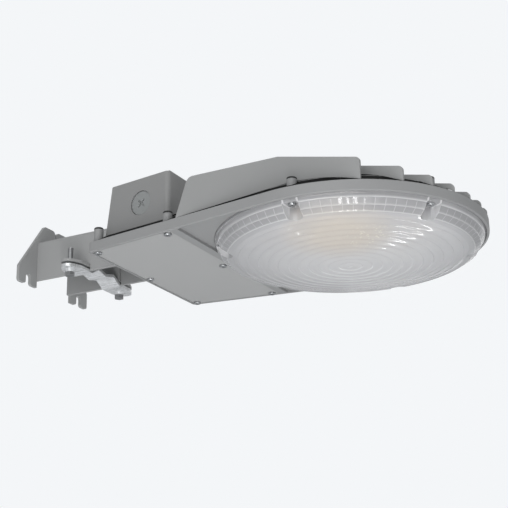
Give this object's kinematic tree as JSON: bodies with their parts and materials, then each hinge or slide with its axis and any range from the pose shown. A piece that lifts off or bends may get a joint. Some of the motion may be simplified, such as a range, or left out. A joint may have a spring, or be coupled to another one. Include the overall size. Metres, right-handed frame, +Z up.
{
  "type": "barn light",
  "caption": "Grey LED barn light with a round prismatic lens, cooling fins, a driver box and a folded arm bracket with a pipe clamp.",
  "frame": {"origin": "on the axis of the arm, in the middle of the saddle and strap that clamp it", "axes": "+X forward along the arm to the lens, +Y across, away from the knockout side, +Z up"},
  "size_m": [0.4292, 0.235, 0.0882],
  "materials": {
    "frame_paint": "grey powder coat on cast aluminium",
    "housing_paint": "grey powder coat on cast aluminium",
    "cover_paint": "grey powder coat on aluminium sheet",
    "bracket_paint": "grey powder coat on folded steel",
    "plug_paint": "grey paint",
    "zinc_steel": "bright zinc plate",
    "steel_screws": "stainless steel",
    "lens_plastic": "clear prismatic plastic",
    "white_plastic": "white",
    "phosphor": "yellow phosphor",
    "board_aluminium": "satin",
    "grey_pad": "soft pad",
    "black_rubber": "matt",
    "black_plastic": "matt",
    "lead_insulation": "lead insulation"
  },
  "bodies": {
    "light": {"bottom_frame": "frame_paint", "top_housing": "housing_paint", "cooling_fins": "housing_paint", "shoulder_seal": "black_rubber", "post_caps": "black_rubber", "lens": "lens_plastic", "lens_gasket": "black_rubber", "lens_screws": "steel_screws", "reflector": "white_plastic", "led_board": "board_aluminium", "led_emitter": "phosphor", "thermal_pad": "grey_pad", "led_board_screws": "steel_screws", "led_driver": "board_aluminium", "driver_end_caps": "black_plastic", "driver_screws": "steel_screws", "terminal_block": "white_plastic", "supply_leads": "lead_insulation", "led_leads": "lead_insulation", "wire_grommet": "black_rubber", "knockout_plug": "plug_paint", "knockout_ring": "black_rubber", "arm_bracket": "bracket_paint", "bracket_bolts": "steel_screws", "bracket_washers": "zinc_steel", "pipe_saddle": "bracket_paint"},
    "clamp": {"clamp_strap": "zinc_steel", "clamp_bolts": "zinc_steel", "clamp_washers": "zinc_steel", "clamp_lock_washers": "zinc_steel"},
    "cover": {"driver_cover": "cover_paint", "driver_cover_gasket": "black_rubber", "driver_cover_screws": "steel_screws"}
  },
  "joints": [
    {"name": "clamp_slide", "type": "slide", "parent": "light", "child": "clamp", "axis": [0, 0, -1], "range_m": [0, 0.014]},
    {"name": "cover_slide", "type": "slide", "parent": "light", "child": "cover", "axis": [0, 0, -1], "range_m": [0, 0.06]}
  ]
}
